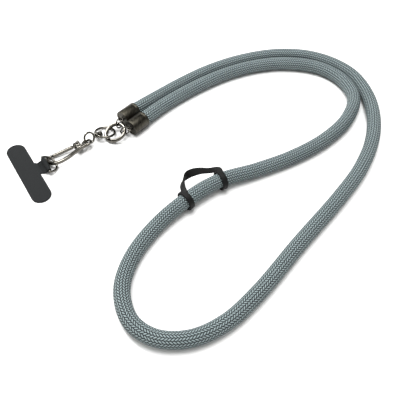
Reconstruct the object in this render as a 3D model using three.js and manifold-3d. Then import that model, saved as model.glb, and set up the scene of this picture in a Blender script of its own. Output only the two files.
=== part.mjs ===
// A phone crossbody strap: a long round braided rope with a metal cap on each end, two cap links on one
// big ring, a swivel, a lobster hook with a spring gate, and a flat patch that is held by the phone case.
// Millimetres, +Z up. The strap lies on the plane Z = 0. The places in the lists ROUTE and CHAIN are
// measured from one point of that plane; ORIGIN moves them so that the hardware stands round the origin.
import * as THREE from "three";
import { mergeVertices } from "three/addons/utils/BufferGeometryUtils.js";
import Module from "manifold-3d";

const wasm = await Module();
wasm.setup();
const { Manifold } = wasm;

// Clearance between neighbours that touch on the real strap, and the clearance round a pin
const GAP = 0.3;
const PIN_GAP = 0.25;

// Rope
const ROPE_D = 10;
const ROPE_SIDES = 12;
const ROPE_STEPS = 80;

// End caps: a tube with a floor, a raised rim round the floor and an eye for the cap link
const CAP_LENGTH = 14;
const CAP_WALL = 0.4;
const CAP_GAP = 0.45;
const CAP_FLOOR = 2.1;
const CAP_RECESS = 0.6;
const CAP_RIM = 0.9;
const CAP_BEVEL = 0.15;
const EYE_R = 1.6;
const EYE_WIRE = 1.0;
const EYE_OUT = 0.9;

// Rings and links: centreline radius and wire thickness
const CAP_LINK_R = 3.4;
const CAP_LINK_WIRE = 1.1;
const RING_R = 7.4;
const RING_WIRE = 2.8;
const BOW_R = 7.2;
const BOW_WIRE = 1.8;
const LOOP_R = 3.9;
const LOOP_WIRE = 1.6;

// Swivel: a collar on the bow, and a shaft with a head on the loop
const SHAFT_R = 0.8;
const COLLAR_R = 2.1;
const COLLAR_LENGTH = 2.2;
const HEAD_R = 2.0;
const HEAD_LENGTH = 2.6;
const HEAD_GAP = 0.5;
const SWIVEL_SPAN = 2.5;
const SHOULDER_STEP = 0.6;

// Hook: a flat cast body, along local x from its nose to its eye, with the gate on its +y side
const HOOK_THICKNESS = 2.4;
const HOOK_WIDTH = 2.3;
const HOOK_EDGE = 0.6;
const BLOCK_THICKNESS = 3.4;
const BLOCK_LOW = -3.4;
const NECK_HALF = 0.9;
const NECK_THICKNESS = 1.6;
const HOOK_EYE_R = 2.9;
const HOOK_EYE_WIRE = 2.0;
const HOOK_EYE_X = 32.6;
const HOOK_EYE_Y = 0.4;
const BLOCK_START = 24.2;
const BLOCK_END = 28.2;
const BLOCK_SIDE = 4.4;
const CHEEK_R = 2.2;
const TONGUE_THICKNESS = 1.4;
const TONGUE_R = 1.5;
const PIVOT_X = 25.0;
const PIVOT_Y = 2.6;
const PIVOT_PIN_R = 0.55;
const GATE_WIDTH = 2.1;
const GATE_THICKNESS = 2.4;
const GATE_TILT = 0.043;
const KNOB_R = 1.0;
const KNOB_X = 2.2;
const KNOB_Y = 3.2;
const ARM_STEP = 0.1;

// Ring of the patch: a D whose straight bar lies in the sleeve of the patch
const DEE_HALF = 6.7;
const DEE_LENGTH = 7.5;
const DEE_WIRE = 1.6;

// Patch: a flat crossbar with round ends, and a soft stem that rises to a sleeve
const PATCH_THICKNESS = 1.0;
const PATCH_SPAN = 47.2;
const PATCH_WIDTH = 13.6;
const STEM_WIDTH = 11;
const STEM_FLARE = 1.6;
const STEM_TAPER = 0.2;
const STEM_ROOT = 1.5;
const SLEEVE_WALL = 0.5;

// Keeper: two bands round the rope and a bridge from one to the other
const BAND_WIDTH = 3.8;
const BAND_THICKNESS = 1.1;
const BAND_GAP = 0.7;

// Smoothness of round sections
const ROUND = 28;
const WIRE_SIDES = 10;

// The point of the plane that becomes the origin
const ORIGIN = new THREE.Vector3(-88.4, 42.02, 0);

// Rope centreline, from the far cap round the loop to the near cap
const ROUTE = [
  [-55.99, 74.95, 5.9],
  [-49.69, 82.19, 5.9],
  [-33.5, 98.0, 5.2],
  [-13.7, 115.3, 5.05],
  [6.7, 130.4, 5.05],
  [33.0, 144.0, 5.05],
  [63.0, 152.0, 5.05],
  [89.0, 150.6, 5.05],
  [109.5, 140.6, 5.05],
  [124.1, 124.3, 5.05],
  [131.0, 101.0, 5.05],
  [130.8, 76.0, 5.05],
  [124.5, 51.1, 5.05],
  [111.0, 24.2, 5.05],
  [92.6, -0.7, 5.05],
  [61.0, -37.8, 5.05],
  [33.5, -71.2, 5.05],
  [14.2, -89.5, 5.05],
  [-5.3, -98.7, 5.05],
  [-24.5, -98.2, 5.05],
  [-38.3, -88.7, 5.05],
  [-44.9, -70.0, 5.05],
  [-41.7, -49.8, 5.05],
  [-28.9, -26.5, 5.3],
  [-9.0, -5.6, 7.0],
  [14.0, 11.6, 7.0],
  [38.4, 22.0, 5.3],
  [65.3, 34.7, 5.05],
  [89.7, 51.2, 5.05],
  [110.3, 73.5, 5.05],
  [119.9, 98.0, 5.05],
  [113.0, 121.0, 5.05],
  [98.5, 134.6, 5.05],
  [72.0, 140.6, 5.05],
  [46.0, 137.2, 5.05],
  [21.2, 126.9, 5.05],
  [-2.7, 110.9, 5.05],
  [-25.5, 91.2, 5.2],
  [-42.47, 72.21, 5.9],
  [-48.77, 64.97, 5.9],
];
const KEEPER_POINTS = [24, 25];

// Places of the hardware: a point, then azimuth, elevation and roll of its local x axis in degrees
const CHAIN = {
  capNear: [-51.0, 62.4, 5.9, 49, 0, 0],
  capFar: [-58.22, 72.38, 5.9, 49, 0, 0],
  linkNear: [-54.84, 60.27, 5.69, 25.3, 15.3, 87.9],
  linkFar: [-60.12, 68.42, 5.21, 65.0, 10.4, 75.9],
  ring: [-62.4, 60.43, 3.68, 212.1, -17.4, 0],
  bow: [-70.18, 61.33, 2.82, 41.3, -12.6, -8.4],
  hook: [-110.1, 33.41, 1.6, 28.2, 5.12, -14.1],
  dee: [-107.05, 27.88, 4.58, 39.0, -26.3, 14.5],
  patch: [-119.65, 23.95, 0, 33, 0, 0],
};
const LOOP_ROLL = 64.5;

const blackNickel = { color: 0x55524e, roughness: 0.22, metalness: 0.95 };
const gunmetal = { color: 0x5a5650, roughness: 0.38, metalness: 0.9 };

// A geometry as a solid, put through a matrix when one is given.
function solidOf(geometry, matrix) {
  const bare = new THREE.BufferGeometry();
  bare.setAttribute("position", (geometry.index ? geometry.toNonIndexed() : geometry).getAttribute("position"));
  if (matrix) bare.applyMatrix4(matrix);
  const merged = mergeVertices(bare, 1e-4);
  return new Manifold(
    new wasm.Mesh({
      numProp: 3,
      vertProperties: merged.getAttribute("position").array,
      triVerts: new Uint32Array(merged.index.array),
    }),
  );
}

// A solid as a geometry.
function geometryOf(solid) {
  const mesh = solid.getMesh();
  const geometry = new THREE.BufferGeometry();
  geometry.setAttribute("position", new THREE.BufferAttribute(mesh.vertProperties, 3));
  geometry.setIndex(new THREE.BufferAttribute(mesh.triVerts, 1));
  geometry.computeVertexNormals();
  return geometry;
}

function pieceOf(name, geometry, surface) {
  const mesh = new THREE.Mesh(geometry, new THREE.MeshStandardMaterial(surface));
  mesh.name = name;
  return mesh;
}

// The matrix of a place: local x along the azimuth and elevation, local y turned about x by the roll.
function placed([x, y, z, azimuth, elevation, roll]) {
  const [a, e, r] = [azimuth, elevation, roll].map(THREE.MathUtils.degToRad);
  return new THREE.Matrix4()
    .makeTranslation(x, y, z)
    .multiply(new THREE.Matrix4().makeRotationZ(a))
    .multiply(new THREE.Matrix4().makeRotationY(-e))
    .multiply(new THREE.Matrix4().makeRotationX(r));
}

const shift = (x, y, z) => new THREE.Matrix4().makeTranslation(x, y, z);

// A cylinder along local x, y or z between two ends, about the point (p, q) of the other two axes.
function rod(axis, radius, from, to, p = 0, q = 0) {
  const geometry = new THREE.CylinderGeometry(radius, radius, to - from, ROUND);
  geometry.translate(0, (from + to) / 2, 0);
  if (axis === "x") return solidOf(geometry.rotateZ(-Math.PI / 2), shift(0, p, q));
  if (axis === "z") return solidOf(geometry.rotateX(Math.PI / 2), shift(p, q, 0));
  return solidOf(geometry, shift(p, 0, q));
}

function block([x0, x1], [y0, y1], [z0, z1]) {
  return solidOf(new THREE.BoxGeometry(x1 - x0, y1 - y0, z1 - z0), shift((x0 + x1) / 2, (y0 + y1) / 2, (z0 + z1) / 2));
}

// A wire ring in the local xy plane.
function wireRing(radius, wire, x = 0, y = 0) {
  return solidOf(new THREE.TorusGeometry(radius, wire / 2, WIRE_SIDES, ROUND), shift(x, y, 0));
}

// A wire of round section along a curve.
function wireAlong(curve, wire, steps) {
  const section = new THREE.Shape(
    new THREE.EllipseCurve(0, 0, wire / 2, wire / 2, 0, 2 * Math.PI).getPoints(WIRE_SIDES).slice(0, WIRE_SIDES),
  );
  return solidOf(new THREE.ExtrudeGeometry(section, { steps, extrudePath: curve, bevelEnabled: false }));
}

// A flat strip of one width along a plane curve, with softened edges, centred on the xy plane.
function strip(points, width, thickness) {
  const curve = new THREE.SplineCurve(points.map(([x, y]) => new THREE.Vector2(x, y)));
  const stations = curve.getSpacedPoints(3 * points.length);
  const half = width / 2 - HOOK_EDGE;
  const side = (sign) =>
    stations.map((p, i) => {
      const t = curve.getTangentAt(i / (stations.length - 1));
      return new THREE.Vector2(p.x - sign * half * t.y, p.y + sign * half * t.x);
    });
  const outline = new THREE.Shape([...side(-1), ...side(1).reverse()]);
  return flat(outline, thickness);
}

// A flat plate of an outline that its softened edges widen by HOOK_EDGE, centred on the xy plane.
function flat(outline, thickness) {
  const geometry = new THREE.ExtrudeGeometry(outline, {
    depth: thickness - 2 * HOOK_EDGE,
    bevelThickness: HOOK_EDGE,
    bevelSize: HOOK_EDGE,
    bevelSegments: 1,
    curveSegments: ROUND / 4,
  });
  return solidOf(geometry, shift(0, 0, HOOK_EDGE - thickness / 2));
}

function disc(x, y, radius, thickness) {
  const outline = new THREE.Shape();
  outline.absarc(x, y, radius - HOOK_EDGE, 0, 2 * Math.PI);
  return flat(outline, thickness);
}

const join = (...solids) => Manifold.union(solids);
const half = (x) => x / 2;

// Rope
const route = new THREE.CatmullRomCurve3(ROUTE.map((p) => new THREE.Vector3(...p)));
const ropeSection = new THREE.Shape(
  Array.from({ length: ROPE_SIDES }, (_, i) => {
    const angle = (2 * Math.PI * i) / ROPE_SIDES;
    return new THREE.Vector2(half(ROPE_D) * Math.cos(angle), half(ROPE_D) * Math.sin(angle));
  }),
);
const rope = pieceOf(
  "rope",
  new THREE.ExtrudeGeometry(ropeSection, { steps: ROPE_STEPS, extrudePath: route, bevelEnabled: false }),
  { color: 0x7b8788, roughness: 0.9, metalness: 0 },
);

// Cap: its closed end stands at local x = 0 and its mouth at x = CAP_LENGTH. The eye lies beyond x = 0.
const capBore = half(ROPE_D) + CAP_GAP;
const capR = capBore + CAP_WALL;
const capFloorTop = CAP_RECESS + CAP_FLOOR;
function capSolid() {
  const profile = [
    [0, CAP_RECESS],
    [capR - CAP_RIM, CAP_RECESS],
    [capR - CAP_RIM, CAP_BEVEL],
    [capR - CAP_RIM + CAP_BEVEL, 0],
    [capR - CAP_BEVEL, 0],
    [capR, CAP_BEVEL],
    [capR, CAP_LENGTH - CAP_BEVEL],
    [capR - CAP_BEVEL, CAP_LENGTH],
    [capBore, CAP_LENGTH],
    [capBore, capFloorTop],
    [0, capFloorTop],
  ].map(([r, h]) => new THREE.Vector2(r, h));
  const shell = solidOf(new THREE.LatheGeometry(profile, ROUND).rotateZ(-Math.PI / 2));
  return join(shell, wireRing(EYE_R, EYE_WIRE, -EYE_OUT));
}

function put(mesh, place) {
  mesh.applyMatrix4(placed(place));
  return mesh;
}
const capNear = put(pieceOf("end_cap_near", geometryOf(capSolid()), gunmetal), CHAIN.capNear);
const capFar = put(pieceOf("end_cap_far", geometryOf(capSolid()), gunmetal), CHAIN.capFar);

// Links and big ring
const capLink = () => geometryOf(wireRing(CAP_LINK_R, CAP_LINK_WIRE));
const linkNear = put(pieceOf("cap_link_near", capLink(), blackNickel), CHAIN.linkNear);
const linkFar = put(pieceOf("cap_link_far", capLink(), blackNickel), CHAIN.linkFar);
const bigRing = put(pieceOf("big_ring", geometryOf(wireRing(RING_R, RING_WIRE)), blackNickel), CHAIN.ring);

// Swivel. In the bow's place its centre is the origin and the collar stands at x = -BOW_R.
const collarOuter = -BOW_R - half(COLLAR_LENGTH);
const collarInner = -BOW_R + half(COLLAR_LENGTH);
const bowSolid = join(wireRing(BOW_R, BOW_WIRE), rod("x", COLLAR_R, collarOuter, collarInner))
  .subtract(rod("x", SHAFT_R + PIN_GAP, collarOuter - 1, collarInner + 1));
const bow = put(pieceOf("swivel_bow", geometryOf(bowSolid), blackNickel), CHAIN.bow);

const loopEnd = -BOW_R - SWIVEL_SPAN;
const headStart = collarInner + HEAD_GAP;
const loopRing = solidOf(
  new THREE.TorusGeometry(LOOP_R, half(LOOP_WIRE), WIRE_SIDES, ROUND),
  new THREE.Matrix4()
    .makeRotationX(THREE.MathUtils.degToRad(LOOP_ROLL - CHAIN.bow[5]))
    .multiply(shift(loopEnd - LOOP_R, 0, 0)),
);
const loopSolid = join(
  loopRing,
  rod("x", half(LOOP_WIRE) + SHOULDER_STEP, loopEnd, collarOuter - GAP),
  rod("x", SHAFT_R, loopEnd, headStart + half(HEAD_LENGTH)),
  rod("x", HEAD_R, headStart, headStart + HEAD_LENGTH),
);
const loop = put(pieceOf("swivel_loop", geometryOf(loopSolid), blackNickel), CHAIN.bow);

// Hook. The curved nose and the back are one strip; the block carries the pivot between two cheeks.
const NOSE_AND_BACK = [
  [5.8, 2.05],
  [3.5, 1.6],
  [1.9, 0.1],
  [1.6, -2.3],
  [3.3, -5.4],
  [6.0, -8.0],
  [9.4, -8.9],
  [15.5, -7.9],
  [21.5, -5.3],
  [27.4, -2.8],
  [32.0, -1.6],
];
const slotHalf = half(TONGUE_THICKNESS) + GAP;
const slotFloor = PIVOT_Y - TONGUE_R - GAP - 0.1;
const hookEye = wireRing(HOOK_EYE_R, HOOK_EYE_WIRE, HOOK_EYE_X, HOOK_EYE_Y);
const blockSolid = join(
  block([BLOCK_START, BLOCK_END], [BLOCK_LOW, BLOCK_SIDE], [-half(BLOCK_THICKNESS), half(BLOCK_THICKNESS)]),
  rod("z", CHEEK_R, -half(BLOCK_THICKNESS), half(BLOCK_THICKNESS), PIVOT_X, PIVOT_Y),
).subtract(block([PIVOT_X - 2 * CHEEK_R, BLOCK_END + 1], [slotFloor, BLOCK_SIDE + 1], [-slotHalf, slotHalf]));
const hookNeck = block(
  [BLOCK_END - 1, HOOK_EYE_X - HOOK_EYE_R],
  [HOOK_EYE_Y - NECK_HALF, HOOK_EYE_Y + NECK_HALF],
  [-half(NECK_THICKNESS), half(NECK_THICKNESS)],
).subtract(rod("z", HOOK_EYE_R - half(HOOK_EYE_WIRE), -HOOK_EYE_WIRE, HOOK_EYE_WIRE, HOOK_EYE_X, HOOK_EYE_Y));
const pivotPin = rod("z", PIVOT_PIN_R, -half(BLOCK_THICKNESS), half(BLOCK_THICKNESS), PIVOT_X, PIVOT_Y);
const hookSolid = join(strip(NOSE_AND_BACK, HOOK_WIDTH, HOOK_THICKNESS), blockSolid, hookNeck, hookEye, pivotPin);
const hook = put(pieceOf("hook", geometryOf(hookSolid), blackNickel), CHAIN.hook);

// Gate: built about its pivot, with its bar towards -x, then moved to the pivot.
const gateReach = PIVOT_X - NOSE_AND_BACK[0][0] - HOOK_EDGE - GAP;
const gateBar = block([-gateReach, 0], [-half(GATE_WIDTH), half(GATE_WIDTH)], [-half(GATE_THICKNESS), half(GATE_THICKNESS)])
  .subtract(rod("z", CHEEK_R + GAP, -GATE_THICKNESS, GATE_THICKNESS));
const gateTongue = join(
  block([-CHEEK_R - 2, 0], [-half(GATE_WIDTH), half(GATE_WIDTH)], [-half(TONGUE_THICKNESS), half(TONGUE_THICKNESS)]),
  rod("z", TONGUE_R, -half(TONGUE_THICKNESS), half(TONGUE_THICKNESS)),
);
const knobArm = Manifold.hull([
  rod("z", half(GATE_WIDTH) - ARM_STEP, -half(TONGUE_THICKNESS), half(TONGUE_THICKNESS)),
  rod("z", KNOB_R - 2 * ARM_STEP, -half(TONGUE_THICKNESS), half(TONGUE_THICKNESS), KNOB_X, KNOB_Y),
]);
const knob = rod("z", KNOB_R, -half(GATE_THICKNESS), half(GATE_THICKNESS), KNOB_X, KNOB_Y);
const gateHole = rod("z", PIVOT_PIN_R + PIN_GAP, -BLOCK_THICKNESS, BLOCK_THICKNESS);
const gateSolid = join(gateBar, gateTongue, knobArm, knob).subtract(gateHole)
  .rotate([0, 0, THREE.MathUtils.radToDeg(GATE_TILT)])
  .translate([PIVOT_X, PIVOT_Y, 0]);
const gate = put(pieceOf("hook_gate", geometryOf(gateSolid), blackNickel), CHAIN.hook);

// Ring of the patch, in its own place: the bar along y at x = 0, the bow towards +x.
const deeBow = new THREE.CatmullRomCurve3(
  [
    [0, -1],
    [0.3, -0.985],
    [0.62, -0.85],
    [0.86, -0.58],
    [0.97, -0.28],
    [1, 0],
    [0.97, 0.28],
    [0.86, 0.58],
    [0.62, 0.85],
    [0.3, 0.985],
    [0, 1],
  ].map(([a, b]) => new THREE.Vector3(a * DEE_LENGTH, b * DEE_HALF, 0)),
);
const deeCorner = (y) => solidOf(new THREE.SphereGeometry(half(DEE_WIRE), ROUND / 2, WIRE_SIDES), shift(0, y, 0));
const deeSolid = join(
  wireAlong(deeBow, DEE_WIRE, ROUND),
  rod("y", half(DEE_WIRE), -DEE_HALF, DEE_HALF),
  deeCorner(-DEE_HALF),
  deeCorner(DEE_HALF),
);
const dee = put(pieceOf("tab_ring", geometryOf(deeSolid), blackNickel), CHAIN.dee);

// Patch. Its crossbar lies along local y. The stem is a soft sheet through four bars and ends in the sleeve.
const patchPlace = placed(CHAIN.patch);
const deePlace = placed(CHAIN.dee);
const deeInPatch = patchPlace.clone().invert().multiply(deePlace);
const sleeveBore = half(DEE_WIRE) + GAP;
const sleeveR = sleeveBore + SLEEVE_WALL;
const sleeveHalf = DEE_HALF - half(DEE_WIRE) - GAP - 0.1;
const upright = (radius, y) => solidOf(
  new THREE.CylinderGeometry(radius, radius, PATCH_THICKNESS, ROUND).rotateX(Math.PI / 2),
  shift(0, y, half(PATCH_THICKNESS)),
);
const crossbar = Manifold.hull([
  upright(half(PATCH_WIDTH), -half(PATCH_SPAN)),
  upright(half(PATCH_WIDTH), half(PATCH_SPAN)),
]);
const bar = (width, matrix) => solidOf(new THREE.BoxGeometry(0.2, width, PATCH_THICKNESS), matrix);
const sleeveUnder = deeInPatch.clone().multiply(shift(-0.3, 0, half(PATCH_THICKNESS) - sleeveR));
const middle = (share, rise) => {
  const from = new THREE.Vector3(half(PATCH_WIDTH), 0, half(PATCH_THICKNESS));
  const position = new THREE.Vector3();
  const quaternion = new THREE.Quaternion();
  sleeveUnder.decompose(position, quaternion, new THREE.Vector3());
  const at = from.lerp(position, share);
  at.z = half(PATCH_THICKNESS) + (position.z - half(PATCH_THICKNESS)) * rise;
  return new THREE.Matrix4().compose(at, new THREE.Quaternion().slerp(quaternion, rise), new THREE.Vector3(1, 1, 1));
};
const stemBars = [
  bar(STEM_WIDTH + STEM_FLARE, shift(half(PATCH_WIDTH) - STEM_ROOT, 0, half(PATCH_THICKNESS))),
  bar(STEM_WIDTH, middle(0.3, 0.06)),
  bar(STEM_WIDTH - STEM_TAPER, middle(0.65, 0.45)),
  bar(2 * sleeveHalf, sleeveUnder),
];
const stemSheets = stemBars.slice(1).map((next, i) => Manifold.hull([stemBars[i], next]));
const sleeve = rod("y", sleeveR, -sleeveHalf, sleeveHalf).transform(deeInPatch.toArray());
const sleeveHole = rod("y", sleeveBore, -2 * DEE_HALF, 2 * DEE_HALF).transform(deeInPatch.toArray());
const patchSolid = join(crossbar, ...stemSheets, sleeve).subtract(sleeveHole);
const patch = put(pieceOf("tab", geometryOf(patchSolid), { color: 0x3a3c3d, roughness: 0.8, metalness: 0 }), CHAIN.patch);

// Keeper: a band at each keeper point of the rope, and the bridge on its far side.
const bandInner = half(ROPE_D) + BAND_GAP;
function bandAt(index) {
  const tangent = route.getTangent(index / (ROUTE.length - 1));
  const turn = new THREE.Quaternion().setFromUnitVectors(new THREE.Vector3(0, 1, 0), tangent);
  const matrix = new THREE.Matrix4().compose(
    new THREE.Vector3(...ROUTE[index]),
    turn,
    new THREE.Vector3(1, 1, 1),
  );
  const profile = [
    [bandInner, -half(BAND_WIDTH)],
    [bandInner + BAND_THICKNESS, -half(BAND_WIDTH)],
    [bandInner + BAND_THICKNESS, half(BAND_WIDTH)],
    [bandInner, half(BAND_WIDTH)],
    [bandInner, -half(BAND_WIDTH)],
  ].map(([r, h]) => new THREE.Vector2(r, h));
  return solidOf(new THREE.LatheGeometry(profile, ROUND), matrix);
}
// Stations of the bridge: a point and the direction of the band's width there
const BRIDGE = [
  [[-9.6, -4.2, 13.0], [0.7, 0.7, 0.1]],
  [[-11.2, 0.8, 12.6], [0.6, 0.75, 0.3]],
  [[-11.0, 8.0, 11.2], [0.35, 0.8, 0.5]],
  [[-7.6, 14.0, 10.2], [0, 0.8, 0.6]],
  [[-1.0, 16.9, 10.0], [0, 0.8, 0.6]],
  [[6.5, 17.2, 10.2], [0, 0.8, 0.6]],
  [[12.4, 16.4, 12.3], [0.6, 0.75, 0.2]],
  [[13.9, 12.2, 13.0], [0.88, 0.47, 0]],
];
const bridgePoints = BRIDGE.map(([p]) => new THREE.Vector3(...p));
const bridgeBars = BRIDGE.map(([, width], i) => {
  const before = bridgePoints[Math.max(i - 1, 0)];
  const after = bridgePoints[Math.min(i + 1, BRIDGE.length - 1)];
  const along = after.clone().sub(before).normalize();
  const across = new THREE.Vector3(...width);
  across.addScaledVector(along, -across.dot(along)).normalize();
  const normal = along.clone().cross(across);
  const matrix = new THREE.Matrix4().makeBasis(along, across, normal).setPosition(bridgePoints[i]);
  return solidOf(new THREE.BoxGeometry(0.3, BAND_WIDTH, BAND_THICKNESS), matrix);
});
const bridge = bridgeBars.slice(1).map((next, i) => Manifold.hull([bridgeBars[i], next]));
const keeperSolid = join(...KEEPER_POINTS.map(bandAt), ...bridge);
const keeper = pieceOf("keeper", geometryOf(keeperSolid), { color: 0x1b1c1d, roughness: 0.75, metalness: 0 });

const strap = new THREE.Group();
strap.name = "phone_crossbody_strap";
strap.add(rope, capNear, capFar, linkNear, linkFar, bigRing, bow, loop, hook, gate, dee, patch, keeper);
strap.position.copy(ORIGIN).negate();

export default strap;
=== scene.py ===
"""A phone crossbody strap on a pale table: braided rope, capped ends, rings, swivel, hook and patch."""

import bmesh
import bpy
import numpy as np
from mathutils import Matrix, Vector


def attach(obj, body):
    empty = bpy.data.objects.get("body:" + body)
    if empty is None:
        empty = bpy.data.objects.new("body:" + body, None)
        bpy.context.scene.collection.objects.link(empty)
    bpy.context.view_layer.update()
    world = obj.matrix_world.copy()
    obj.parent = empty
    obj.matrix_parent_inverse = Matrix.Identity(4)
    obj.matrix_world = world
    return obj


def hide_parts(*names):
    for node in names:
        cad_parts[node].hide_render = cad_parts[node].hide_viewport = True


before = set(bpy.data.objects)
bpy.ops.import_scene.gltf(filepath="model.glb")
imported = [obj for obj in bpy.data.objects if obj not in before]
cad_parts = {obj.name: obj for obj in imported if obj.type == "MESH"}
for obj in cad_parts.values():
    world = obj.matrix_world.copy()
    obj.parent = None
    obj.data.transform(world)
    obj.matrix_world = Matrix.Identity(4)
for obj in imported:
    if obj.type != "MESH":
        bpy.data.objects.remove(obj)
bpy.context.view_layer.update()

MM = 0.001

# The point of the table plane that is the origin, as in the part's source
ORIGIN = np.array([-88.4, 42.02, 0.0]) * MM

# Rope centreline in metres, from the far cap round the loop to the near cap
ROUTE = np.array([
    [-0.05599, 0.07495, 0.0059], [-0.04969, 0.08219, 0.0059], [-0.03350, 0.09800, 0.0052],
    [-0.01370, 0.11530, 0.00505], [0.00670, 0.13040, 0.00505], [0.03300, 0.14400, 0.00505],
    [0.06300, 0.15200, 0.00505], [0.08900, 0.15060, 0.00505], [0.10950, 0.14060, 0.00505],
    [0.12410, 0.12430, 0.00505], [0.13100, 0.10100, 0.00505], [0.13080, 0.07600, 0.00505],
    [0.12450, 0.05110, 0.00505], [0.11100, 0.02420, 0.00505], [0.09260, -0.00070, 0.00505],
    [0.06100, -0.03780, 0.00505], [0.03350, -0.07120, 0.00505], [0.01420, -0.08950, 0.00505],
    [-0.00530, -0.09870, 0.00505], [-0.02450, -0.09820, 0.00505], [-0.03830, -0.08870, 0.00505],
    [-0.04490, -0.07000, 0.00505], [-0.04170, -0.04980, 0.00505], [-0.02890, -0.02650, 0.0053],
    [-0.00900, -0.00560, 0.0070], [0.01400, 0.01160, 0.0070], [0.03840, 0.02200, 0.0053],
    [0.06530, 0.03470, 0.00505], [0.08970, 0.05120, 0.00505], [0.11030, 0.07350, 0.00505],
    [0.11990, 0.09800, 0.00505], [0.11300, 0.12100, 0.00505], [0.09850, 0.13460, 0.00505],
    [0.07200, 0.14060, 0.00505], [0.04600, 0.13720, 0.00505], [0.02120, 0.12690, 0.00505],
    [-0.00270, 0.11090, 0.00505], [-0.02550, 0.09120, 0.0052], [-0.04247, 0.07221, 0.0059],
    [-0.04877, 0.06497, 0.0059],
])
ROPE_LENGTH = 1.016
ROPE_R = 4.95 * MM

# The two places of the route at which the keeper's bands sit
KEEPER_POINTS = (24, 25)

# Places of the hardware: a point in millimetres of the table plane, azimuth, elevation and roll in degrees
CHAIN = {
    "cap_near": (-51.0, 62.4, 5.9, 49, 0, 0),
    "cap_far": (-58.22, 72.38, 5.9, 49, 0, 0),
    "link_near": (-54.84, 60.27, 5.69, 25.3, 15.3, 87.9),
    "link_far": (-60.12, 68.42, 5.21, 65.0, 10.4, 75.9),
    "ring": (-62.4, 60.43, 3.68, 212.1, -17.4, 0),
    "bow": (-70.18, 61.33, 2.82, 41.3, -12.6, -8.4),
    "hook": (-110.1, 33.41, 1.6, 28.2, 5.12, -14.1),
    "dee": (-107.05, 27.88, 4.58, 39.0, -26.3, 14.5),
    "patch": (-119.65, 23.95, 0, 33, 0, 0),
}
LOOP_ROLL = 64.5


# Curves and sections

def colour(text):
    """An sRGB hex colour as linear RGBA: c/12.92 under 0.04045, else ((c + 0.055)/1.055) to the power 2.4."""
    c = np.array([int(text[i:i + 2], 16) for i in (1, 3, 5)]) / 255
    linear = np.where(c < 0.04045, c / 12.92, ((c + 0.055) / 1.055) ** 2.4)
    return (*linear.tolist(), 1.0)


def spline(points, count):
    """Centripetal Catmull-Rom curve through the points, at count places equally far apart along it."""
    p = np.asarray(points, float)
    q = np.vstack([2 * p[0] - p[1], p, 2 * p[-1] - p[-2]])
    p0, p1, p2, p3 = q[:-3, None], q[1:-2, None], q[2:-1, None], q[3:, None]

    def step(a, b):
        """Square root of the distance from a to b."""
        return np.linalg.norm(b - a, axis=-1, keepdims=True) ** 0.5

    t1 = step(p0, p1)
    t2 = t1 + step(p1, p2)
    t3 = t2 + step(p2, p3)
    t = t1 + (t2 - t1) * np.linspace(0, 1, 60, endpoint=False)[None, :, None]
    a1 = ((t1 - t) * p0 + t * p1) / t1
    a2 = ((t2 - t) * p1 + (t - t1) * p2) / (t2 - t1)
    a3 = ((t3 - t) * p2 + (t - t2) * p3) / (t3 - t2)
    b1 = ((t2 - t) * a1 + t * a2) / t2
    b2 = ((t3 - t) * a2 + (t - t1) * a3) / (t3 - t1)
    c = (((t2 - t) * b1 + (t - t1) * b2) / (t2 - t1)).reshape(-1, p.shape[1])
    return evenly(np.vstack([c, p[-1]]), count)


def evenly(c, count):
    """A dense line at count places equally far apart."""
    along = np.concatenate([[0], np.cumsum(np.linalg.norm(np.diff(c, axis=0), axis=1))])
    at = np.linspace(0, along[-1], count)
    return np.stack([np.interp(at, along, c[:, k]) for k in range(c.shape[1])], 1)


def tangents(path, closed=False):
    """Unit direction at each place of a path, from its two neighbours."""
    if closed:
        d = np.roll(path, -1, 0) - np.roll(path, 1, 0)
    else:
        d = np.gradient(path, axis=0)
    return d / np.linalg.norm(d, axis=1, keepdims=True)


def round_section(count, power=2.0):
    """Superellipse |x|^power + |y|^power = 1 as count points: a circle at 2, a soft rectangle from 5 up."""
    a = np.linspace(0, 2 * np.pi, count, endpoint=False)
    c, s = np.cos(a), np.sin(a)
    r = (np.abs(c) ** power + np.abs(s) ** power) ** (-1 / power)
    return np.stack([r * c, r * s], 1)


def placed(place):
    """4 by 4 matrix of a place: x along the azimuth and elevation, y turned about x by the roll."""
    x, y, z, azimuth, elevation, roll = place
    a, e, r = np.radians([azimuth, elevation, roll])
    along = np.array([np.cos(e) * np.cos(a), np.cos(e) * np.sin(a), np.sin(e)])
    left = np.array([-np.sin(a), np.cos(a), 0.0])
    up = np.cross(along, left)
    side = np.cos(r) * left + np.sin(r) * up
    m = np.eye(4)
    m[:3, 0], m[:3, 1], m[:3, 2] = along, side, np.cross(along, side)
    m[:3, 3] = np.array([x, y, z]) * MM - ORIGIN
    return m


def moved(points, matrix):
    """Points of any grid, put through a 4 by 4 matrix."""
    return points @ matrix[:3, :3].T + matrix[:3, 3]


# Surfaces: each returns (grid of points in millimetres, wraps along u, wraps along v)

def torus(radius, wire, nu=72, nv=24, centre=(0, 0, 0)):
    """Circle of the wire's radius carried round a circle in the xy plane."""
    u = np.linspace(0, 2 * np.pi, nu, endpoint=False)[:, None]
    v = np.linspace(0, 2 * np.pi, nv, endpoint=False)[None, :]
    rho = radius + wire / 2 * np.cos(v)
    grid = np.stack([rho * np.cos(u), rho * np.sin(u), wire / 2 * np.sin(v) + 0 * u], -1)
    return grid + np.array(centre), True, True


def lathe(profile, count=64, axis="x", centre=(0, 0, 0)):
    """Profile of (height, radius) turned round a local axis; a radius of 0 closes it on the axis."""
    h, r = np.array(profile, float).T
    v = np.linspace(0, 2 * np.pi, count, endpoint=False)[None, :]
    grid = np.stack([h[:, None] + 0 * v, r[:, None] * np.cos(v), r[:, None] * np.sin(v)], -1)
    if axis == "z":
        grid = grid[..., [1, 2, 0]]
    return grid + np.array(centre), False, True


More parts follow.
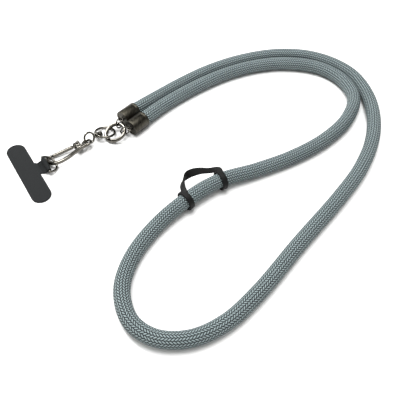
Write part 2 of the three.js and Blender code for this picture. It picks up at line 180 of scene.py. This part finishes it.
def drum(radius, low, high, edge, axis="x", centre=(0, 0, 0), count=48):
    """Short cylinder with edges rounded by quarter circles."""
    q = np.linspace(0, np.pi / 2, 5)
    foot = [(low + edge * (1 - np.cos(a)), radius - edge * (1 - np.sin(a))) for a in q]
    head = [(high - edge * (1 - np.sin(a)), radius - edge * (1 - np.cos(a))) for a in q]
    return lathe([(low, 0)] + foot + head + [(high, 0)], count, axis, centre)


# Length of the rounded end of a carried bar, as a share of its half height
END_REACH = 0.8


def carried(path, across, section, width, height, closed=False, square=True):
    """Unit section scaled to half width and half height and carried along a path. across is the width's
    direction, made square to the path unless square is off. The height's direction is the path crossed with
    it. An open path ends in two caps: edge and middle blended by cos(turn), moved out by sin(turn)."""
    path = np.asarray(path, float)
    n = len(path)
    t = tangents(path, closed)
    w = np.broadcast_to(np.asarray(across, float), (n, 3))
    if square:
        w = w - (w * t).sum(1, keepdims=True) * t
    w = w / np.linalg.norm(w, axis=1, keepdims=True)
    h = np.cross(t, w)
    h = h / np.linalg.norm(h, axis=1, keepdims=True)
    half_w = np.broadcast_to(np.asarray(width, float), (n,))[:, None, None]
    half_h = np.broadcast_to(np.asarray(height, float), (n,))[:, None, None]
    x, y = section[:, 0][None, :, None], section[:, 1][None, :, None]
    grid = path[:, None] + w[:, None] * x * half_w + h[:, None] * y * half_h
    if not closed:
        turn = np.linspace(0, 1, 4)[:, None, None] * np.pi / 2

        def bulge(edge, middle, out):
            """An end section drawn in to its middle while it moves out, in four steps."""
            return middle + (edge - middle) * np.cos(turn) + out * np.sin(turn)

        first = bulge(grid[:1], path[0], -t[0] * (half_h[0, 0, 0] * END_REACH))[::-1]
        last = bulge(grid[-1:], path[-1], t[-1] * (half_h[-1, 0, 0] * END_REACH))
        grid = np.concatenate([first[:-1], grid, last[1:]])
    return grid, closed, True


def plate(outline, thickness, edge):
    """Flat plate of a closed outline, which is drawn in by a quarter circle at top and foot."""
    outline = np.asarray(outline, float)
    t = tangents(outline, True)
    inward = np.stack([-t[:, 1], t[:, 0]], 1)
    middle = outline.mean(0)
    if np.cross(outline - middle, t).sum() < 0:
        inward = -inward
    q = np.linspace(0, np.pi / 2, 5)
    rings = []
    core = outline + inward * edge
    for s in (0.0, 0.5):
        rings.append((middle + (core - middle) * s, 0.0))
    for a in q:
        rings.append((outline + inward * edge * (1 - np.sin(a)), edge * (1 - np.cos(a))))
    for a in q:
        rings.append((outline + inward * edge * (1 - np.cos(a)), thickness - edge * (1 - np.sin(a))))
    for s in (0.5, 0.0):
        rings.append((middle + (core - middle) * s, thickness))
    grid = np.stack([np.concatenate([p, np.full((len(p), 1), z)], 1) for p, z in rings])
    return grid, False, True


def stadium(span, radius, count=24):
    """Outline of a bar with half-round ends, along y, with points on its straight sides too."""
    a = np.linspace(0, np.pi, count)
    far = np.stack([radius * np.cos(a), span / 2 + radius * np.sin(a)], 1)
    near = -far
    side = np.linspace(span / 2, -span / 2, 12)[1:-1]
    left = np.stack([np.full(len(side), -radius), side], 1)
    right = np.stack([np.full(len(side), radius), -side], 1)
    return np.vstack([far, left, near, right])


def soft_box(low, high, edge, count=10):
    """Block with rounded edges: points of a cube, drawn to a core box and pushed out by the edge."""
    low, high = np.array(low, float), np.array(high, float)
    theta = np.linspace(-np.pi / 2, np.pi / 2, 4 * count)[:, None]
    phi = np.linspace(0, 2 * np.pi, 8 * count, endpoint=False)[None, :]
    d = np.stack([np.cos(theta) * np.cos(phi), np.cos(theta) * np.sin(phi), np.sin(theta) + 0 * phi], -1)
    cube = d / np.abs(d).max(-1, keepdims=True)
    half = (high - low) / 2
    at = cube * half
    core = np.clip(at, -(half - edge), half - edge)
    out = at - core
    size = np.linalg.norm(out, axis=-1, keepdims=True)
    return core + out / np.where(size > 0, size, 1) * edge + (low + high) / 2, False, True


def piece(name, surfaces, materials, body, solid, matrix=None, which=None, uv=None):
    """One mesh from several surface grids in millimetres, merged at its poles, with faces pointing out."""
    points, faces, slots = [], [], []
    start = 0
    for k, (grid, wrap_u, wrap_v) in enumerate(surfaces):
        nu, nv = grid.shape[:2]
        index = np.arange(nu * nv).reshape(nu, nv) + start
        if wrap_u:
            index = np.vstack([index, index[:1]])
        if wrap_v:
            index = np.hstack([index, index[:, :1]])
        quads = np.stack([index[:-1, :-1], index[1:, :-1], index[1:, 1:], index[:-1, 1:]], -1).reshape(-1, 4)
        points.append(grid.reshape(-1, 3))
        faces.append(quads)
        slots.append(np.full(len(quads), which[k] if which else 0))
        start += nu * nv
    co = np.vstack(points) * MM
    if matrix is not None:
        co = moved(co, matrix)
    quads = np.vstack(faces)
    mesh = bpy.data.meshes.new(name)
    mesh.vertices.add(len(co))
    mesh.vertices.foreach_set("co", co.ravel())
    mesh.loops.add(quads.size)
    mesh.loops.foreach_set("vertex_index", quads.ravel())
    mesh.polygons.add(len(quads))
    mesh.polygons.foreach_set("loop_start", np.arange(len(quads)) * 4)
    mesh.polygons.foreach_set("material_index", np.concatenate(slots))
    mesh.polygons.foreach_set("use_smooth", np.ones(len(quads), bool))
    mesh.update(calc_edges=True)
    if uv is not None:
        layer = mesh.uv_layers.new(name="surface")
        layer.data.foreach_set("uv", uv.ravel())
    for m in materials:
        mesh.materials.append(m)
    obj = bpy.data.objects.new(name, mesh)
    bpy.context.scene.collection.objects.link(obj)
    close_and_turn(mesh)
    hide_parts(solid)
    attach(obj, body)
    return obj


def close_and_turn(mesh):
    """Merges the points of each pole and turns the faces of every shell outwards."""
    work = bmesh.new()
    work.from_mesh(mesh)
    bmesh.ops.remove_doubles(work, verts=work.verts, dist=1e-7)
    bmesh.ops.recalc_face_normals(work, faces=work.faces)
    work.to_mesh(mesh)
    work.free()


# Materials

def node(tree, kind, inputs=None, **settings):
    """Adds one node, sets its settings, and fills its inputs with values or links them to sockets."""
    made = tree.nodes.new(kind)
    for key, value in settings.items():
        setattr(made, key, value)
    for key, value in (inputs or {}).items():
        socket = made.inputs[key]
        if isinstance(value, bpy.types.NodeSocket):
            tree.links.new(value, socket)
        else:
            socket.default_value = value
    return made


def calc(tree, operation, a, b=0.0, c=0.0):
    """One operation on numbers or sockets."""
    return node(tree, "ShaderNodeMath", {0: a, 1: b, 2: c}, operation=operation).outputs[0]


def blank(name):
    """A new material with an empty Principled surface, as (material, tree, surface node)."""
    material = bpy.data.materials.new(name)
    material.use_nodes = True
    tree = material.node_tree
    tree.nodes.clear()
    surface = node(tree, "ShaderNodeBsdfPrincipled")
    output = node(tree, "ShaderNodeOutputMaterial", {"Surface": surface.outputs[0]})
    output.location = (300, 0)
    return material, tree, surface


def blend_colour(tree, factor, a, b):
    """Colour between a and b by a factor; a and b are linear colours or sockets."""
    mix = node(tree, "ShaderNodeMix", data_type="RGBA")
    for socket, value in ((mix.inputs[0], factor), (mix.inputs[6], a), (mix.inputs[7], b)):
        if isinstance(value, bpy.types.NodeSocket):
            tree.links.new(value, socket)
        else:
            socket.default_value = value
    return mix.outputs[2]


def noise(tree, scale, detail=2.0, vector=None):
    """Noise value at a scale in patterns per metre of object space, or of the vector given."""
    where = vector or node(tree, "ShaderNodeTexCoord").outputs["Object"]
    return node(tree, "ShaderNodeTexNoise", {"Vector": where, "Scale": scale, "Detail": detail}).outputs[0]


def map_range(tree, value, low, high, to_low=0.0, to_high=1.0, **settings):
    """A value mapped from low..high to to_low..to_high and held within them."""
    inputs = {0: value, 1: low, 2: high, 3: to_low, 4: to_high}
    return node(tree, "ShaderNodeMapRange", inputs, **settings).outputs[0]


def fall_off(tree, value, power):
    """1 - |2 value|^power."""
    twice = calc(tree, "ABSOLUTE", calc(tree, "MULTIPLY", value, 2.0))
    return calc(tree, "SUBTRACT", 1.0, calc(tree, "POWER", twice, power))


def add_bump(tree, surface, height, strength, distance):
    """Puts a relief of a height, with its distance in metres, into the surface's normal."""
    inputs = {"Height": height, "Strength": strength, "Distance": distance}
    tree.links.new(node(tree, "ShaderNodeBump", inputs).outputs[0], surface.inputs["Normal"])


# Braid: columns round the rope, a stitch's length in millimetres, its lean, and the shape of its rise
BRAID_COLUMNS = 18
BRAID_PITCH = 1.85
BRAID_LEAN = 0.9
CROWN_POWER = 2.4
SHOULDER_POWER = 3.0
SHOULDER_SHARE = 0.75


def braid_material():
    """Herringbone braid: leaning stitches from the rope's own map, with u in columns and v in stitches."""
    material, tree, surface = blank("braided_polyester_blue_grey")
    uv = node(tree, "ShaderNodeUVMap", uv_map="surface").outputs[0]
    split = node(tree, "ShaderNodeSeparateXYZ", {0: uv})
    column, stitch = split.outputs[0], split.outputs[1]
    whole = calc(tree, "FLOOR", column)
    x = calc(tree, "SUBTRACT", calc(tree, "SUBTRACT", column, whole), 0.5)
    odd = calc(tree, "MODULO", whole, 2.0)
    lean = calc(tree, "MULTIPLY_ADD", odd, -2 * BRAID_LEAN, BRAID_LEAN)
    phase = calc(tree, "MULTIPLY_ADD", odd, 0.5, calc(tree, "MULTIPLY_ADD", x, lean, stitch))
    y = calc(tree, "SUBTRACT", calc(tree, "FRACT", phase), 0.5)
    crown = fall_off(tree, y, CROWN_POWER)
    shoulder = fall_off(tree, x, SHOULDER_POWER)
    edge = calc(tree, "MULTIPLY_ADD", shoulder, SHOULDER_SHARE, 1 - SHOULDER_SHARE)
    height = calc(tree, "MULTIPLY", crown, edge)
    # Filaments run along each stitch
    across, along = calc(tree, "MULTIPLY", phase, 9.0), calc(tree, "MULTIPLY", x, 1.6)
    thread = node(tree, "ShaderNodeCombineXYZ", {0: across, 1: along, 2: whole})
    filament = noise(tree, 1.0, 2.0, thread.outputs[0])
    stain = noise(tree, 55.0, 3.0)
    # Painted shade: where the stitches dip, in their low gaps and falling edges, the yarn is blended to
    # near-black #0d1214 to stand in for the shade between stitches
    painted_shade_ramp = map_range(tree, height, 0.3, 0.92, interpolation_type="SMOOTHSTEP")
    yarn = blend_colour(tree, filament, colour("#66767b"), colour("#b4c2c2"))
    yarn = blend_colour(tree, calc(tree, "MULTIPLY", stain, 0.3), yarn, colour("#5f6f74"))
    tone = blend_colour(tree, painted_shade_ramp, colour("#0d1214"), yarn)
    tree.links.new(tone, surface.inputs["Base Color"])
    surface.inputs["Roughness"].default_value = 0.72
    surface.inputs["Specular IOR Level"].default_value = 0.3
    add_bump(tree, surface, calc(tree, "MULTIPLY_ADD", filament, 0.22, height), 1.0, 0.0005)
    return material


def metal_material(name, base, dark, rough, streak=0.0, stretch=(1, 1, 1)):
    """Plated metal with a slightly uneven shine, and fine brush lines where streak is above 0."""
    material, tree, surface = blank(name)
    surface.inputs["Metallic"].default_value = 1.0
    uneven = map_range(tree, noise(tree, 420.0, 4.0), 0.3, 0.7, rough * 0.75, rough * 1.35)
    tree.links.new(uneven, surface.inputs["Roughness"])
    if streak:
        # Brush lines that run round the cap, in the relief and in the tone
        where = node(tree, "ShaderNodeTexCoord").outputs["Object"]
        rotation = (0, 0, np.radians(-CHAIN["cap_near"][3]))
        turned = node(tree, "ShaderNodeMapping", {"Vector": where, "Rotation": rotation, "Scale": stretch})
        lines = noise(tree, 900.0, 3.0, turned.outputs[0])
        share = map_range(tree, lines, 0.35, 0.65)
        add_bump(tree, surface, lines, streak, 0.00006)
    else:
        share = noise(tree, 180.0, 3.0)
        add_bump(tree, surface, noise(tree, 700.0, 2.0), 0.12, 0.00005)
    tone = blend_colour(tree, share, colour(dark), colour(base))
    tree.links.new(tone, surface.inputs["Base Color"])
    return material


def cloth_material(name, light, dark, scale, relief):
    """Coated cloth: two crossed waves in object space turned to the patch, under a fine grain."""
    material, tree, surface = blank(name)
    where = node(tree, "ShaderNodeTexCoord").outputs["Object"]
    rotation = (0, 0, np.radians(-CHAIN["patch"][3]))
    turned = node(tree, "ShaderNodeMapping", {"Vector": where, "Rotation": rotation}).outputs[0]
    wave = {"Vector": turned, "Scale": scale, "Distortion": 0.6, "Detail": 1.0}
    warp = node(tree, "ShaderNodeTexWave", wave, bands_direction="X").outputs[1]
    weft = node(tree, "ShaderNodeTexWave", wave, bands_direction="Y").outputs[1]
    weave = calc(tree, "MULTIPLY", warp, weft)
    grain = noise(tree, 2600.0, 3.0)
    share = calc(tree, "MULTIPLY_ADD", grain, 0.6, calc(tree, "MULTIPLY", weave, 0.4))
    tree.links.new(blend_colour(tree, share, colour(dark), colour(light)), surface.inputs["Base Color"])
    surface.inputs["Roughness"].default_value = 0.8
    surface.inputs["Specular IOR Level"].default_value = 0.18
    add_bump(tree, surface, calc(tree, "MULTIPLY_ADD", grain, 0.5, weave), relief, 0.00012)
    return material


def silicone_material():
    """Matt black silicone with a fine, dusty unevenness."""
    material, tree, surface = blank("silicone_matt_black")
    surface.inputs["Specular IOR Level"].default_value = 0.22
    dust = noise(tree, 300.0, 4.0)
    tone = blend_colour(tree, dust, colour("#050505"), colour("#0d0e0e"))
    tree.links.new(tone, surface.inputs["Base Color"])
    tree.links.new(map_range(tree, dust, 0.3, 0.7, 0.55, 0.75), surface.inputs["Roughness"])
    add_bump(tree, surface, noise(tree, 1500.0, 2.0), 0.25, 0.00005)
    return material


BRAID = braid_material()
GUNMETAL = metal_material(
    "brushed_gunmetal", "#4d4a42", "#35332d", 0.34, streak=0.4, stretch=(3, 0.25, 0.25),
)
NICKEL = metal_material("polished_black_nickel", "#7f7c75", "#4a4742", 0.11)
PATCH_CLOTH = cloth_material("coated_charcoal_cloth", "#292b2c", "#1a1b1c", 1100.0, 0.35)
STEM_CLOTH = cloth_material("woven_black_tape", "#2b2e2f", "#151617", 480.0, 0.8)
SILICONE = silicone_material()


# Camera at the photograph's height and angle, and light

def view_and_light():
    """Camera 334 mm from the middle of the table and 52 degrees down, a key, a fill and a bright surround."""
    camera = bpy.data.cameras.new("camera")
    camera.lens = 45
    camera.sensor_width = 36
    camera.clip_start = 0.01
    seat = bpy.data.objects.new("camera", camera)
    seat.location = np.array([0, -205.7, 263.3]) * MM - ORIGIN
    seat.rotation_euler = (np.radians(38), 0, 0)
    bpy.context.scene.collection.objects.link(seat)
    bpy.context.scene.camera = seat

    def lamp(name, place, target, size, power):
        """One round area light aimed at a target, with its size in metres and its power in watts."""
        light = bpy.data.lights.new(name, "AREA")
        light.shape = "DISK"
        light.size = size
        light.energy = power
        obj = bpy.data.objects.new(name, light)
        obj.location = place
        obj.rotation_euler = (Vector(target) - Vector(place)).to_track_quat("-Z", "Y").to_euler()
        bpy.context.scene.collection.objects.link(obj)

    lamp("key", (-0.4, 0.5, 0.75), (0.05, 0, 0), 0.3, 7.5)
    lamp("fill", (0.1, 0.1, 1.1), (0.05, 0, 0), 0.6, 9.0)

    world = bpy.data.worlds.new("surround")
    world.use_nodes = True
    sky = world.node_tree
    direction = node(sky, "ShaderNodeTexCoord").outputs["Generated"]
    height = node(sky, "ShaderNodeSeparateXYZ", {0: direction}).outputs[2]
    rise = map_range(sky, height, 0.66, 0.84, interpolation_type="SMOOTHSTEP")
    low = map_range(sky, height, 0.3, 0.36, 1.0, 0.0, interpolation_type="SMOOTHSTEP")
    shade = blend_colour(sky, rise, (0.015, 0.015, 0.015, 1), (1.0, 0.995, 0.985, 1))
    shade = blend_colour(sky, low, shade, (0.62, 0.62, 0.61, 1))
    sky.links.new(shade, sky.nodes["Background"].inputs[0])
    sky.nodes["Background"].inputs[1].default_value = 1.35
    bpy.context.scene.world = world
    bpy.context.scene.view_settings.view_transform = "Standard"

    mesh = bpy.data.meshes.new("table")
    reach = 30
    corners = [(-reach, -reach, 0), (reach, -reach, 0), (reach, reach, 0), (-reach, reach, 0)]
    mesh.from_pydata(corners, [], [(0, 1, 2, 3)])
    table = bpy.data.objects.new("table", mesh)
    bpy.context.scene.collection.objects.link(table)
    material, _, surface = blank("pale_table")
    surface.inputs["Base Color"].default_value = (0.93, 0.93, 0.925, 1)
    surface.inputs["Roughness"].default_value = 0.6
    mesh.materials.append(material)


view_and_light()

# Rope

ROWS_PER_STITCH = 3
POINTS_PER_COLUMN = 3

# Height of a stitch in millimetres, and the share of it that lies inside the rope's radius
STITCH_RISE = 0.13
STITCH_SUNK = 0.6

# Least height of the rope's underside over the table, in metres
UNDERSIDE = 0.00003

ROUTE_LINE = spline(ROUTE, 4000)


def braided_rope():
    """Tube along the route, raised in each leaning stitch: r = R + rise * (crown(phase) * edge(x) - sunk)."""
    rows = int(round(ROPE_LENGTH / MM / BRAID_PITCH)) * ROWS_PER_STITCH + 1
    path = evenly(ROUTE_LINE, rows) - ORIGIN
    t = tangents(path)
    side = np.cross(t, [0, 0, 1])
    side /= np.linalg.norm(side, axis=1, keepdims=True)
    up = np.cross(side, t)
    around = BRAID_COLUMNS * POINTS_PER_COLUMN
    u = np.arange(around) / POINTS_PER_COLUMN
    v = np.arange(rows) / ROWS_PER_STITCH
    column = np.floor(u)
    x = u - column - 0.5 + 0.5 / POINTS_PER_COLUMN
    odd = column % 2
    phase = v[:, None] + x * (1 - 2 * odd) * BRAID_LEAN + 0.5 * odd
    y = phase - np.floor(phase) - 0.5
    crown = 1 - np.abs(2 * y) ** CROWN_POWER
    shoulder = 1 - np.abs(2 * x) ** SHOULDER_POWER
    height = crown * (1 - SHOULDER_SHARE + SHOULDER_SHARE * shoulder)
    radius = ROPE_R + STITCH_RISE * MM * (height - STITCH_SUNK)
    angle = 2 * np.pi * (u + 0.5 / POINTS_PER_COLUMN) / BRAID_COLUMNS
    ring = side[:, None] * np.cos(angle)[None, :, None] + up[:, None] * np.sin(angle)[None, :, None]
    grid = path[:, None] + ring * radius[..., None]
    grid[..., 2] = np.maximum(grid[..., 2], UNDERSIDE)
    shown = np.vstack([path[:1][None].repeat(around, 1), grid, path[-1:][None].repeat(around, 1)])
    columns = np.concatenate([u, [BRAID_COLUMNS]]) + 0.5 / POINTS_PER_COLUMN
    stitches = np.concatenate([[0], v, v[-1:]])
    a, low = np.broadcast_arrays(columns[:-1][None, :], stitches[:-1, None])
    b, high = np.broadcast_arrays(columns[1:][None, :], stitches[1:, None])
    corners = [(a, low), (a, high), (b, high), (b, low)]
    uv = np.stack([np.stack(corner, -1) for corner in corners], -2).reshape(-1, 2)
    made = piece("braided_rope", [(shown / MM, False, True)], [BRAID], "strap", "rope", uv=uv)
    return made, path


rope, rope_path = braided_rope()


# Keeper: radius of the bands' middle, half width and half thickness, in millimetres
BAND_R, BAND_HALF, BAND_THICK = 6.25, 1.9, 0.55


def keeper():
    """Two flat bands round the rope and a bridge between them, each a soft rectangle carried along a line."""
    dense = ROUTE_LINE - ORIGIN
    t = tangents(dense)
    section = round_section(28, 7)
    surfaces = []
    for k in KEEPER_POINTS:
        centre = ROUTE[k] - ORIGIN
        at = np.argmin(np.linalg.norm(dense - centre, axis=1))
        along = t[at]
        side = np.cross(along, [0, 0, 1])
        side /= np.linalg.norm(side)
        up = np.cross(side, along)
        a = np.linspace(0, 2 * np.pi, 72, endpoint=False)[:, None]
        line = centre / MM + BAND_R * (np.cos(a) * side + np.sin(a) * up)
        surfaces.append(carried(line, along, section, BAND_HALF, BAND_THICK, closed=True))
    bridge = np.array([
        [-9.6, -4.2, 13.0], [-11.2, 0.8, 12.6], [-11.0, 8.0, 11.2], [-7.6, 14.0, 10.2],
        [-1.0, 16.9, 10.0], [6.5, 17.2, 10.2], [12.4, 16.4, 12.3], [13.9, 12.2, 13.0],
    ])
    width = np.array([
        [0.7, 0.7, 0.1], [0.6, 0.75, 0.3], [0.35, 0.8, 0.5], [0, 0.8, 0.6],
        [0, 0.8, 0.6], [0, 0.8, 0.6], [0.6, 0.75, 0.2], [0.88, 0.47, 0],
    ])
    both = spline(np.hstack([bridge, width * 4]), 60)
    share = np.linspace(0, 1, 60)
    half_width = BAND_HALF + 0.8 * np.sin(np.pi * np.clip((share - 0.2) / 0.55, 0, 1)) ** 2
    surfaces.append(carried(both[:, :3] - ORIGIN / MM, both[:, 3:], section, half_width, BAND_THICK))
    return piece("keeper_band", surfaces, [SILICONE], "strap", "keeper")


keeper_band = keeper()

# Hardware: outer and inner radius of the caps, then radius and wire thickness of each round ring
CAP_R, CAP_BORE = 5.85, 5.45
LINK_R, LINK_WIRE = 3.4, 1.1
BIG_RING_R, BIG_RING_WIRE = 7.4, 2.8
BOW_R, BOW_WIRE = 7.2, 1.8
LOOP_R, LOOP_WIRE = 3.9, 1.6


def end_cap(name, place, node_name):
    """Turned shell with a rolled mouth, a groove, a recessed floor, and a wire eye on the floor."""
    profile = [
        (0.62, 0), (0.6, 4.2), (0.55, 4.75), (0.35, 4.92), (0.12, 4.98), (0.0, 5.15), (0.0, 5.5),
        (0.08, 5.7), (0.25, 5.82), (0.5, CAP_R), (11.9, CAP_R), (12.05, 5.78), (12.25, 5.76),
        (12.4, CAP_R - 0.02), (12.6, CAP_R), (13.5, CAP_R), (13.8, 5.83), (13.95, 5.74), (14.0, 5.62),
        (13.95, 5.5), (13.8, CAP_BORE), (4.0, CAP_BORE), (2.8, CAP_BORE), (2.7, 0),
    ]
    surfaces = [lathe(profile, 96), torus(1.6, 1.0, 48, 20, (-0.9, 0, 0))]
    matrix = placed(CHAIN[place])
    return piece(name, surfaces, [GUNMETAL, NICKEL], "strap", node_name, matrix, which=[0, 1])


end_cap("end_cap_shell_near", "cap_near", "end_cap_near")
end_cap("end_cap_shell_far", "cap_far", "end_cap_far")


def ring_piece(name, place, radius, wire, node_name):
    """A closed wire ring."""
    matrix = placed(CHAIN[place])
    return piece(name, [torus(radius, wire, 96, 28)], [NICKEL], "strap", node_name, matrix)


ring_piece("cap_link_wire_near", "link_near", LINK_R, LINK_WIRE, "cap_link_near")
ring_piece("cap_link_wire_far", "link_far", LINK_R, LINK_WIRE, "cap_link_far")
ring_piece("big_ring_wire", "ring", BIG_RING_R, BIG_RING_WIRE, "big_ring")

# Swivel: outer and inner end of the collar, and the middle of the loop, along the swivel's axis
COLLAR_OUT, COLLAR_IN = -8.3, -6.1
LOOP_MIDDLE = -13.6

piece(
    "swivel_bow_wire",
    [
        torus(BOW_R, BOW_WIRE, 96, 28),
        lathe([
            (COLLAR_OUT + 0.05, 1.05), (COLLAR_OUT, 1.2), (COLLAR_OUT, 1.8), (COLLAR_OUT + 0.1, 2.0),
            (COLLAR_OUT + 0.3, 2.1), (COLLAR_IN - 0.3, 2.1), (COLLAR_IN - 0.1, 2.0), (COLLAR_IN, 1.8),
            (COLLAR_IN, 1.2), (COLLAR_IN - 0.05, 1.05), (COLLAR_OUT + 0.05, 1.05),
        ], 56),
    ],
    [NICKEL], "strap", "swivel_bow", placed(CHAIN["bow"]),
)


def swivel_loop():
    """Small ring rolled about the swivel's axis, with a shoulder, a shaft and a round head inside the bow."""
    ring = torus(LOOP_R, LOOP_WIRE, 72, 24)[0]
    roll = np.radians(LOOP_ROLL - CHAIN["bow"][5])
    turned = np.stack([
        ring[..., 0], ring[..., 1] * np.cos(roll) - ring[..., 2] * np.sin(roll),
        ring[..., 1] * np.sin(roll) + ring[..., 2] * np.cos(roll),
    ], -1) + np.array([LOOP_MIDDLE, 0, 0])
    head = COLLAR_IN + 0.5
    return piece(
        "swivel_loop_wire",
        [
            (turned, True, True),
            drum(1.4, -9.9, COLLAR_OUT - 0.3, 0.3),
            drum(0.8, -9.7, head + 1, 0.1),
            drum(2.0, head, head + 2.6, 0.45),
        ],
        [NICKEL], "strap", "swivel_loop", placed(CHAIN["bow"]),
    )


swivel_loop()

# Hook and gate: the pivot, the end of the nose, and the inner and outer faces of the two cheeks
PIVOT = np.array([25.0, 2.6, 0])
NOSE_END = 5.8
CHEEK_IN, CHEEK_OUT = 1.0, 1.7

# Depth of the nose's edge, the gap between it and the gate, and the closed gate's tilt in radians
NOSE_EDGE, GAP, GATE_TILT = 0.6, 0.3, 0.043


def hook():
    """Nose and back of one soft section, a block with two cheeks, a riveted pin, a neck and a wire eye."""
    line = np.array([
        [NOSE_END, 2.05], [3.5, 1.6], [1.9, 0.1], [1.6, -2.3], [3.3, -5.4], [6.0, -8.0], [9.4, -8.9],
        [15.5, -7.9], [21.5, -5.3], [27.4, -2.8], [32.0, -1.6],
    ])
    path = spline(np.hstack([line, np.zeros((len(line), 1))]), 90)
    taper = np.clip(np.linspace(0, 1, 90) / 0.1, 0, 1)
    width = 1.25 * (0.9 + 0.1 * taper)
    height = 1.35 * (0.8 + 0.2 * taper)
    bar = carried(path, (0, 0, 1), round_section(32, 3.2), width, height)
    parts = [
        bar,
        soft_box((24.2, -3.4, -CHEEK_OUT), (28.2, 0.8, CHEEK_OUT), 0.8),
        soft_box((24.4, 0.2, CHEEK_IN), (28.2, 4.4, CHEEK_OUT), 0.34),
        soft_box((24.4, 0.2, -CHEEK_OUT), (28.2, 4.4, -CHEEK_IN), 0.34),
        drum(2.2, CHEEK_IN, CHEEK_OUT, 0.3, "z", PIVOT),
        drum(2.2, -CHEEK_OUT, -CHEEK_IN, 0.3, "z", PIVOT),
        drum(0.55, -1.8, 1.8, 0.1, "z", PIVOT),
        drum(0.9, 1.55, 1.85, 0.14, "z", PIVOT),
        drum(0.9, -1.85, -1.55, 0.14, "z", PIVOT),
        soft_box((27.2, -0.5, -0.8), (29.7, 1.3, 0.8), 0.4),
        torus(2.9, 2.0, 64, 24, (32.6, 0.4, 0)),
    ]
    return piece("lobster_hook", parts, [NICKEL], "strap", "hook", placed(CHAIN["hook"]))


hook()


def gate():
    """Soft-edged bar, a thin tongue with an eye round the pivot, and an arm with a thumb knob."""
    end = PIVOT[0] - NOSE_END - NOSE_EDGE - GAP
    c, s = np.cos(GATE_TILT), np.sin(GATE_TILT)
    turn = np.array([[c, -s, 0], [s, c, 0], [0, 0, 1]])
    path = np.stack([np.linspace(-end + 0.6, -3.35, 40), np.zeros(40), np.zeros(40)], 1)
    bar = carried(path, (0, 0, 1), round_section(28, 4), 1.2, 1.15)
    profile = [(-0.7, 0.8), (-0.7, 1.3), (-0.55, 1.5), (0.55, 1.5), (0.7, 1.3), (0.7, 0.8), (-0.7, 0.8)]
    arm = np.array([[0.35, 1.2, 0], [1.2, 2.1, 0], [2.2, 3.2, 0]])
    parts = [
        bar,
        soft_box((-3.7, -1.0, -0.7), (-1.1, 1.0, 0.7), 0.2),
        lathe(profile, 40, "z"),
        carried(spline(arm, 12), (0, 0, 1), round_section(20, 5), 0.7, 0.95),
        drum(1.0, -1.2, 1.2, 0.35, "z", (2.2, 3.2, 0)),
    ]
    shown = [(g @ turn.T + PIVOT, a, b) for g, a, b in parts]
    return piece("hook_gate_lever", shown, [NICKEL], "gate", "hook_gate", placed(CHAIN["hook"]))


gate()


# D-ring: how far its bow reaches, half the length of its bar, and its wire
DEE_REACH, DEE_HALF, DEE_WIRE = 7.5, 6.7, 1.6


def dee():
    """Wire D: a straight bar along y, and a bow towards +x, both round sections carried along a line."""
    line = np.array([
        [0, -1], [0.3, -0.985], [0.62, -0.85], [0.86, -0.58], [0.97, -0.28], [1, 0],
        [0.97, 0.28], [0.86, 0.58], [0.62, 0.85], [0.3, 0.985], [0, 1],
    ]) * np.array([DEE_REACH, DEE_HALF])
    bow = spline(np.hstack([line, np.zeros((len(line), 1))]), 80)
    bar = np.stack([np.zeros(20), np.linspace(-DEE_HALF, DEE_HALF, 20), np.zeros(20)], 1)
    section = round_section(24)
    half = DEE_WIRE / 2
    parts = [carried(line, (0, 0, 1), section, half, half) for line in (bow, bar)]
    return piece("tab_ring_wire", parts, [NICKEL], "strap", "tab_ring", placed(CHAIN["dee"]))


dee()


# Patch: span between the centres of its round ends, their radius, and the radius of the tape round the bar
PATCH_SPAN, PATCH_END, WRAP_R = 47.2, 6.8, 1.35


def patch():
    """Crossbar plate with round ends, and a tape that rises from it and goes round the bar of the D-ring."""
    flat = placed(CHAIN["patch"])
    ring = placed(CHAIN["dee"])
    crossbar = plate(stadium(PATCH_SPAN, PATCH_END), 1.0, 0.3)
    inverse = np.linalg.inv(flat)

    def local(p):
        """A point of the D-ring's frame in the patch's frame, in millimetres."""
        return moved(moved(np.array(p, float) * MM, ring), inverse) / MM

    turns = np.radians(np.linspace(-90, 215, 16))
    wrap = [local([WRAP_R * np.cos(a), 0, WRAP_R * np.sin(a)]) for a in turns]
    start = np.array([[5.0, 0, 0.5], [7.0, 0, 0.55]])
    under = local([-0.6, 0, -WRAP_R])
    way = (under - start[1]) * np.array([1, 1, 0])
    climb = np.array([0, 0, under[2] - start[1, 2]])
    rise = np.array([start[1] + way * 0.3 + climb * 0.06, start[1] + way * 0.65 + climb * 0.45])
    line = np.vstack([start, rise, wrap])
    across_flat = np.array([0.0, 1.0, 0.0])
    across_ring = local([0, 1, 0]) - local([0, 0, 0])
    share = np.concatenate([[0, 0, 0.1, 0.5], np.ones(len(wrap))])[:, None]
    across = across_flat * (1 - share) + across_ring * share
    half = np.concatenate([[6.3, 5.75, 5.5, 5.45], np.full(len(wrap), 5.45)])[:, None]
    thick = np.concatenate([[0.48, 0.48, 0.48, 0.4], np.full(len(wrap), 0.25)])[:, None]
    both = spline(np.hstack([line, across * 2, half, thick]), 110)
    tape = carried(both[:, :3], both[:, 3:6], round_section(40, 9), both[:, 6], both[:, 7], square=False)
    cloths = [PATCH_CLOTH, STEM_CLOTH]
    return piece("patch_tape", [crossbar, tape], cloths, "strap", "tab", flat, which=[0, 1])


patch()
